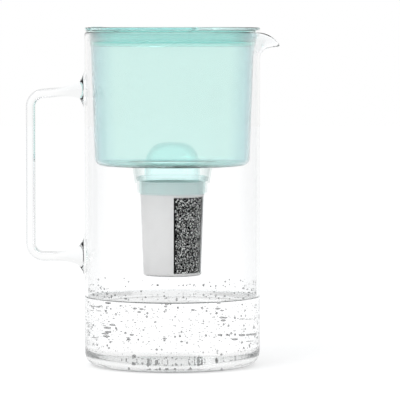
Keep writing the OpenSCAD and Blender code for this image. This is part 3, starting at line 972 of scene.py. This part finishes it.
def bow_path():
    """Stations (x and z, way, distance from the nearer seam) along the middle of the handle's bow."""
    top, low = ROOTS
    start = Vector((-(JUG_R + top["height"]), top["z"]))
    upper = Vector((GRIP_X, top["z"] - ARM_FALL))
    lower = Vector((GRIP_X, low["z"]))
    end = Vector((-(JUG_R + low["height"]), low["z"]))
    into_wall = -OUTWARD * ROOT_DEPTH
    return [
        (start + into_wall, OUTWARD, 0.0),
        *arm_stations(start, upper, True),
        *bend_stations(start, upper, lower),
        *bend_stations(upper, lower, end),
        *arm_stations(end, lower, False),
        (end + into_wall, -OUTWARD, 0.0),
    ]


def square_off(value):
    """A sine or cosine drawn towards its ends, which makes a round section fuller."""
    return math.copysign(abs(value) ** GRIP_SQUARE, value)


def make_bow():
    """The rod of the handle, wider and thicker towards its roots."""
    rings = []
    for at, way, distance in bow_path():
        share = max(0.0, 1 - distance / FLARE) ** 2
        half_t = lerp(GRIP_T, ROOT_T, share) / 2
        half_w = lerp(GRIP_W, ROOT_W, share) / 2
        across = Vector((-way.y, way.x))
        ring = []
        for a in steps(0, 2 * math.pi, BOW_SIDES)[:-1]:
            out = square_off(math.cos(a)) * half_t
            y = square_off(math.sin(a)) * half_w
            ring.append((at.x + across.x * out, y, at.y + across.y * out))
        rings.append(ring)
    return grid_object("handle_grip", rings, around=False, along=True, sharp=BOW_SHARP)


def make_jug(material):
    """The jug with its handle fused on, as one body of glass."""
    cup = grid_object("jug_cup", [jug_column(a) for a in jug_angles()], around=True, along=False)
    bow = make_bow()
    cup.modifiers.clear()
    bow.modifiers.clear()
    join = cup.modifiers.new("fuse", "BOOLEAN")
    join.operation = "UNION"
    join.solver = "EXACT"
    join.object = bow
    joined = cup.evaluated_get(bpy.context.evaluated_depsgraph_get())
    fused = bpy.data.meshes.new_from_object(joined)
    bpy.data.objects.remove(cup)
    bpy.data.objects.remove(bow)
    jug = new_object("jug_body", fused)
    jug.data.materials.clear()
    jug.data.materials.append(material)
    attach(jug, "jug")
    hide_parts("jug_glass", "handle_boss_upper", "handle_boss_lower", "handle_bow")


# Hopper

def flange_reach(r, z, angle):
    """The flange stops short at the spout, where the water passes."""
    if abs(signed(angle)) < NOTCH_HALF and z > FLANGE_Z - 0.01 * MM:
        r = min(r, NOTCH_R)
    return r, z


def make_hopper(material):
    """The cup with its groove for the seal and its flange on the rim."""
    corner = (HOPPER_LOW_R - HOPPER_CORNER, HOPPER_Z + HOPPER_CORNER)
    outer = [(HOLE_R, HOPPER_Z)]
    outer += arc(corner, HOPPER_CORNER, -90, 0, count=10)
    upper = [
        (HOPPER_TOP_R, COLLAR_Z),
        (COLLAR_R, COLLAR_Z + COLLAR_SLOPE),
        (COLLAR_R, SEAL_LOW),
        (SEAL_IN, SEAL_LOW),
        (SEAL_IN, SEAL_TOP),
        (COLLAR_R, SEAL_TOP),
        (COLLAR_R, FLANGE_Z),
        (FLANGE_R, FLANGE_Z),
        (FLANGE_R, FLANGE_TOP),
        (HOPPER_TOP_R - HOPPER_T, FLANGE_TOP),
        (HOPPER_TOP_R - HOPPER_T, COLLAR_Z),
    ]
    upper = fillet(upper, HOPPER_EDGE, count=3, closed=False)
    inner = arc(corner, HOPPER_CORNER - HOPPER_T, 0, -90, count=8)
    inner += [(HOLE_R, HOPPER_Z + HOPPER_T)]
    hopper = lathe("hopper_cup", outer + upper + inner, HOPPER_COLUMNS, reach=flange_reach)
    hopper.data.materials.append(material)
    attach(hopper, "hopper")
    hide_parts("hopper")


def make_seal(material):
    """The seal's band and fins, open at the spout."""
    back = SEAL_IN + SEAL_SLIP
    top = SEAL_TOP - SEAL_SLIP
    low = SEAL_LOW + SEAL_SLIP
    outline = [(back, low), (back, top), (SEAL_BAND_R, top)]
    for i in range(FINS):
        middle = SEAL_TOP - (FIN_TOP + FIN_PITCH * i)
        outline += [
            (SEAL_BAND_R, middle + FIN_HALF),
            (FIN_R - FIN_TIP, middle + FIN_HALF * FIN_TAPER),
            (FIN_R, middle),
            (FIN_R - FIN_TIP, middle - FIN_HALF * FIN_TAPER),
            (SEAL_BAND_R, middle - FIN_HALF),
        ]
    outline += [(SEAL_BAND_R, low)]
    outline = fillet(outline, SEAL_EDGE, count=2)
    start = math.degrees(NOTCH_HALF)
    seal = lathe("collar_seal", outline, SEAL_COLUMNS, start, 360 - 2 * start)
    seal.data.materials.append(material)
    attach(seal, "hopper")
    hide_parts("hopper_seal")


# Cartridge

def body_radius(z):
    """The outside of the cartridge's body at a height."""
    return lerp(BODY_LOW_R, BODY_TOP_R, (z - BODY_LOW) / (BODY_TOP - BODY_LOW))


def jittered(rng, step):
    """A random shift either way, by a part of the step."""
    return rng.uniform(-GRAIN_JITTER, GRAIN_JITTER) * step


def grain_corners(rng, corners, size):
    """The corners of one grain: a ball drawn long, flattened, turned at random and made uneven."""
    long = size * rng.uniform(*GRAIN_LONG)
    deep = size * rng.uniform(*GRAIN_DEEP)
    stretch = Vector((long, size * GRAIN_FLAT, deep))
    lie = Euler([rng.uniform(0, math.pi) for _ in range(3)])
    out = []
    for corner in corners:
        shaped = corner * stretch * rng.uniform(*GRAIN_UNEVEN)
        shaped.rotate(lie)
        out.append(shaped)
    return out


def make_grains(material):
    """Loose grains in jittered layers behind the window."""
    rng = random.Random(GRAIN_SEED)
    corners, sides = ball(subdivisions=1)
    points, faces = [], []
    low = BED_LOW + GRAIN_START * GRAIN
    rows = round((BED_TOP - low) / (GRAIN * GRAIN_ROW))
    first_angle = WINDOW_FROM + GRAIN_EDGE
    last_angle = WINDOW_FROM + WINDOW_TURN - GRAIN_EDGE
    for layer in range(GRAIN_LAYERS):
        for row, z in enumerate(steps(low, BED_TOP, rows)):
            r = body_radius(z) - BODY_T - WINDOW_GAP - LAYER_DEPTH * layer
            step = GRAIN / r
            angle = first_angle + (row % 2) * step / 2 + layer * step / 3
            while angle < last_angle:
                size = GRAIN * rng.uniform(*GRAIN_SIZE)
                at_angle = angle + jittered(rng, step)
                at_z = z + jittered(rng, GRAIN)
                at_r = r - size * GRAIN_SINK
                centre = Vector((at_r * math.cos(at_angle), at_r * math.sin(at_angle), at_z))
                first = len(points)
                points += [centre + corner for corner in grain_corners(rng, corners, size)]
                faces += [[first + i for i in side] for side in sides]
                angle += step
    grains = scattered_object("media_granules", points, faces, GRAIN_SHARP)
    grains.data.materials.append(material)
    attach(grains, "cartridge")


def make_core(material):
    """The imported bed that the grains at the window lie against."""
    depth = BODY_T + GRAIN
    outline = [(0.0, BED_LOW), (body_radius(BED_LOW) - depth, BED_LOW)]
    outline += [(body_radius(BED_TOP) - depth, BED_TOP), (0.0, BED_TOP)]
    core = lathe("bed_core", fillet(outline, BED_EDGE, count=3, closed=False), BED_COLUMNS)
    core.data.materials.append(material)
    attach(core, "cartridge")
    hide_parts("media_bed")


# Water

def ripple(r):
    """Height of the rings that spread from the middle of the water."""
    return RIPPLE_H * math.cos(r / RIPPLE_WAVE) * math.exp(-r / RIPPLE_FADE)


def make_water(material):
    """The filtered water in the jug, with a meniscus. It isn't a part of the pitcher."""
    wall = BORE_R + WATER_LAP
    corner = BASE_R - GLASS_T + WATER_LAP
    low = FLOOR_T - WATER_LAP
    outline = [(0.0, low)]
    outline += arc((wall - corner, low + corner), corner, -90, 0, CORNER_ROWS)
    outline += [(wall, z) for z in steps(WATER_WALL_Z, WATER_Z + MENISCUS_TOP, BORE_ROWS)]
    outline += [(wall - away, WATER_Z + height) for away, height in MENISCUS]
    outline += [(r, WATER_Z + ripple(r)) for r in steps(wall - MENISCUS_END, 0.0, RIPPLE_ROWS)]
    water = lathe("water", outline, WATER_COLUMNS)
    water.data.materials.append(material)


def make_beads(name, beads, material):
    """Small round beads, each a centre and a radius, as one object."""
    corners, sides = ball(subdivisions=3)
    points, faces = [], []
    for centre, size in beads:
        first = len(points)
        points += [centre + corner * size for corner in corners]
        faces += [[first + i for i in side] for side in sides]
    piece = scattered_object(name, points, faces)
    piece.data.materials.append(material)


def wall_bead(rng, low, high, size):
    """A bead just off the inside of the glass, somewhere between two heights."""
    angle = rng.uniform(0, 2 * math.pi)
    r = BORE_R - size - BEAD_GAP
    return Vector((r * math.cos(angle), r * math.sin(angle), rng.uniform(low, high))), size


def floor_bead(rng, size):
    """A bead on the jug's floor, even over its area but for a spot in the middle."""
    angle = rng.uniform(0, 2 * math.pi)
    r = math.sqrt(rng.uniform(MIDDLE_SPOT, 1)) * ON_FLOOR_R
    return Vector((r * math.cos(angle), r * math.sin(angle), FLOOR_T + size)), size


def make_bubbles(material):
    """Air bubbles on the glass under the water, and a few splashed drops above it."""
    rng = random.Random(BUBBLE_SEED)
    bubbles = []
    for i in range(BUBBLES):
        size = rng.uniform(*(LARGE_SIZE if i < LARGE_BUBBLES else SMALL_SIZE))
        if i % ON_FLOOR == 0:
            bubbles.append(floor_bead(rng, size))
        else:
            bubbles.append(wall_bead(rng, BUBBLE_LOW, WATER_Z - BUBBLE_COVER, size))
    make_beads("bubbles", bubbles, material)
    drops = []
    for _ in range(DROPS):
        size = rng.uniform(*DROP_SIZE)
        high = WATER_Z + rng.uniform(*DROP_HIGH)
        drops.append(wall_bead(rng, WATER_Z + DROP_LOW, high, size))
    make_beads("drops", drops, material)


# Studio

def seen_share(tree, share):
    """share for rays from the camera, a mirror or through glass, and 0 for others."""
    path = add(tree, "ShaderNodeLightPath").outputs
    kinds = ("Is Camera Ray", "Is Glossy Ray", "Is Transmission Ray")
    seen = greatest(tree, *[path[kind] for kind in kinds])
    scaled = add(tree, "ShaderNodeMath", operation="MULTIPLY")
    scaled.inputs[1].default_value = share
    tree.links.new(seen, scaled.inputs[0])
    return scaled.outputs[0]


def make_floor():
    """A white floor that keeps the pitcher's shadow."""
    shell = bmesh.new()
    bmesh.ops.create_circle(shell, cap_ends=True, segments=FLOOR_SIDES, radius=FLOOR_SIZE)
    floor = in_scene("floor", to_mesh("floor", shell))
    material, tree, shader = new_material("white floor")
    tree.nodes.remove(shader)
    matte = add(tree, "ShaderNodeBsdfDiffuse", Color=(*FLOOR_COLOUR, 1.0))
    glow = add(tree, "ShaderNodeEmission", Color=(*WHITE, 1.0), Strength=FLOOR_GLOW)
    show(tree, mix_shaders(tree, seen_share(tree, FLOOR_GLOW_SHARE), matte, glow))
    floor.data.materials.append(material)


def make_world():
    """Soft light from all round, seen as plain white."""
    world = bpy.data.worlds.new("studio")
    bpy.context.scene.world = world
    world.use_nodes = True
    tree = world.node_tree
    tree.nodes.clear()
    output = add(tree, "ShaderNodeOutputWorld")
    light = add(tree, "ShaderNodeBackground", Color=(*SKY_COLOUR, 1.0), Strength=SKY_LIGHT)
    plain = add(tree, "ShaderNodeBackground", Color=(*WHITE, 1.0), Strength=1.0)
    mixed = mix_shaders(tree, seen_share(tree, 1.0), light, plain)
    tree.links.new(mixed.outputs[0], output.inputs["Surface"])


def make_lamp():
    """One broad soft lamp, up and to the left of the camera."""
    data = bpy.data.lights.new("key", "AREA")
    data.size = LAMP_SIZE
    data.energy = LAMP_POWER
    lamp = in_scene("key", data)
    lamp.location = LAMP_PLACE
    way = Vector(LAMP_AIM) - Vector(LAMP_PLACE)
    lamp.rotation_euler = way.to_track_quat("-Z", "Y").to_euler()


def make_camera():
    """The photograph's camera."""
    data = bpy.data.cameras.new("camera")
    data.sensor_width = SENSOR
    data.lens = SENSOR * CAMERA_AWAY / (FRAME_PX * MM_PER_PX * MM)
    data.clip_end = CAMERA_END
    camera = in_scene("camera", data)
    drop = math.atan2(CAMERA_Z - MIDDLE_Z, CAMERA_AWAY)
    camera.location = (CAMERA_X, -CAMERA_AWAY, CAMERA_Z)
    camera.rotation_euler = (math.pi / 2 - drop, 0.0, 0.0)
    bpy.context.scene.camera = camera


# Finishes

glass = glass_material()
hopper_mint = mint_material(
    "hopper mint",
    clear=(0.71, 0.99, 0.935),
    edge=(0.25, 0.58, 0.72),
    haze=(0.84, 0.98, 0.96),
    haze_share=0.05,
    roughness=0.05,
)
lid_mint = mint_material(
    "lid mint",
    clear=(0.70, 0.99, 0.975),
    edge=(0.40, 0.84, 0.82),
    haze=(0.68, 0.97, 0.945),
    haze_share=0.03,
    roughness=0.06,
)
socket_plastic = film_material(
    "socket plastic", clear=(0.985, 1.0, 0.997), body=(0.90, 0.99, 0.98), share=0.0, edge_share=0.3
)
silicone = film_material(
    "silicone",
    clear=(0.99, 1.0, 1.0),
    body=(0.90, 0.96, 0.96),
    share=0.02,
    edge_share=0.3,
    roughness=0.35,
)
cap_mint = film_material(
    "cap mint",
    clear=(0.955, 1.0, 1.0),
    body=(0.84, 0.99, 0.985),
    share=0.0,
    edge_share=0.16,
    roughness=0.25,
)
white_plastic = satin_material("white plastic", (0.93, 0.93, 0.93), (0.90, 0.90, 0.90), 0.4)
window_plastic = film_material(
    "clear plastic",
    clear=(0.99, 0.995, 0.995),
    body=(0.80, 0.83, 0.83),
    share=0.0,
    edge_share=0.04,
    roughness=0.04,
)
fleece = fleece_material()

# Pieces

make_jug(glass)
make_hopper(hopper_mint)
make_seal(silicone)
carried_over("filter_socket", "socket_cup", 0.3 * MM, socket_plastic, "hopper")
carried_over("cartridge_cap", "filter_cap", 0.25 * MM, cap_mint, "cartridge")
carried_over("cartridge_seal", "filter_seal", 0.2 * MM, silicone, "cartridge")
carried_over("cartridge_body", "filter_body", 0.25 * MM, white_plastic, "cartridge")
carried_over("media_window", "sight_window", 0.15 * MM, window_plastic, "cartridge")
carried_over("outlet_grille", "outlet_disc", 0.15 * MM, white_plastic, "cartridge")
carried_over("lid_frame", "lid_plate", 0.3 * MM, lid_mint, "lid")
carried_over("lid_flap", "fill_flap", 0.35 * MM, lid_mint, "flap")
carried_over("hinge_pin", "pivot_pin", 0.2 * MM, steel_material(), "lid")
make_grains(granule_material())
make_core(bed_material())
for node, material in (
    ("upper_fleece", fleece),
    ("lower_fleece", fleece),
    ("inlet_screen", mesh_material()),
):
    nodes[node].data.materials.clear()
    nodes[node].data.materials.append(material)

# Surroundings

# Bubbles and drops: a dark grey skin that thickens edge-on, painted shade for the dark rims of bubbles
air = film_material("bubble", clear=WHITE, body=(0.10, 0.11, 0.11), share=0.38, edge_share=0.95)
make_water(water_material())
make_bubbles(air)
make_floor()
make_world()
make_lamp()
make_camera()

scene = bpy.context.scene
scene.view_settings.view_transform = "Standard"

# Light crosses many walls of glass, water and plastic before it leaves
scene.cycles.max_bounces = 48
scene.cycles.transmission_bounces = 40
scene.cycles.glossy_bounces = 40
scene.cycles.diffuse_bounces = 12
scene.cycles.transparent_max_bounces = 32
